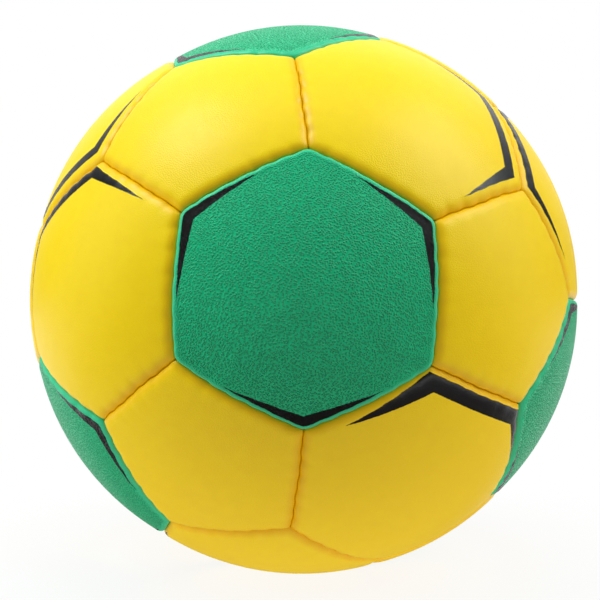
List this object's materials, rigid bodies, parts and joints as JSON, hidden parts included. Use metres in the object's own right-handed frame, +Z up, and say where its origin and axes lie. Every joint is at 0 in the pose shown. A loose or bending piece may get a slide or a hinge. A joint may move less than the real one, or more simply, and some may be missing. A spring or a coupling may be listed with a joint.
{
  "type": "handball",
  "caption": "Stitched inflatable handball of cushioned hexagon and pentagon panels over a rubber bladder with a needle valve.",
  "frame": {"origin": "the ball's centre", "axes": "+Y out through the middle of the valve, -Y through the middle of the front green hexagon, +Z up through the middle of a seam between two hexagons"},
  "size_m": [0.1876, 0.1877, 0.187],
  "materials": {
    "green_cover": "pebbled synthetic leather with black prints",
    "yellow_cover": "fine-grained synthetic leather with black prints",
    "foam": "soft closed-cell foam",
    "lining": "woven polyester and cotton",
    "thread": "waxed polyester",
    "bladder_rubber": "smooth butyl rubber",
    "valve_rubber": "soft greased rubber"
  },
  "bodies": {
    "root": {"green_hexagon_1": "green_cover", "green_hexagon_2": "green_cover", "green_hexagon_3": "green_cover", "green_hexagon_4": "green_cover", "green_hexagon_5": "green_cover", "green_hexagon_6": "green_cover", "green_hexagon_7": "green_cover", "green_hexagon_8": "green_cover", "yellow_hexagon_1": "yellow_cover", "yellow_hexagon_2": "yellow_cover", "yellow_hexagon_3": "yellow_cover", "yellow_hexagon_4": "yellow_cover", "yellow_hexagon_5": "yellow_cover", "yellow_hexagon_6": "yellow_cover", "yellow_hexagon_7": "yellow_cover", "yellow_hexagon_8": "yellow_cover", "yellow_hexagon_9": "yellow_cover", "yellow_hexagon_10": "yellow_cover", "yellow_hexagon_11": "yellow_cover", "yellow_hexagon_12": "yellow_cover", "yellow_pentagon_1": "yellow_cover", "yellow_pentagon_2": "yellow_cover", "yellow_pentagon_3": "yellow_cover", "yellow_pentagon_4": "yellow_cover", "yellow_pentagon_5": "yellow_cover", "yellow_pentagon_6": "yellow_cover", "yellow_pentagon_7": "yellow_cover", "yellow_pentagon_8": "yellow_cover", "yellow_pentagon_9": "yellow_cover", "yellow_pentagon_10": "yellow_cover", "yellow_pentagon_11": "yellow_cover", "yellow_pentagon_12": "yellow_cover", "green_hexagon_foam": "foam", "yellow_hexagon_foam": "foam", "pentagon_foam": "foam", "green_hexagon_lining": "lining", "yellow_hexagon_lining": "lining", "pentagon_lining": "lining", "hexagon_seam_thread": "thread", "pentagon_seam_thread": "thread", "bladder": "bladder_rubber", "balance_patch": "bladder_rubber", "valve_housing": "bladder_rubber", "valve_core": "valve_rubber"}
  },
  "joints": []
}
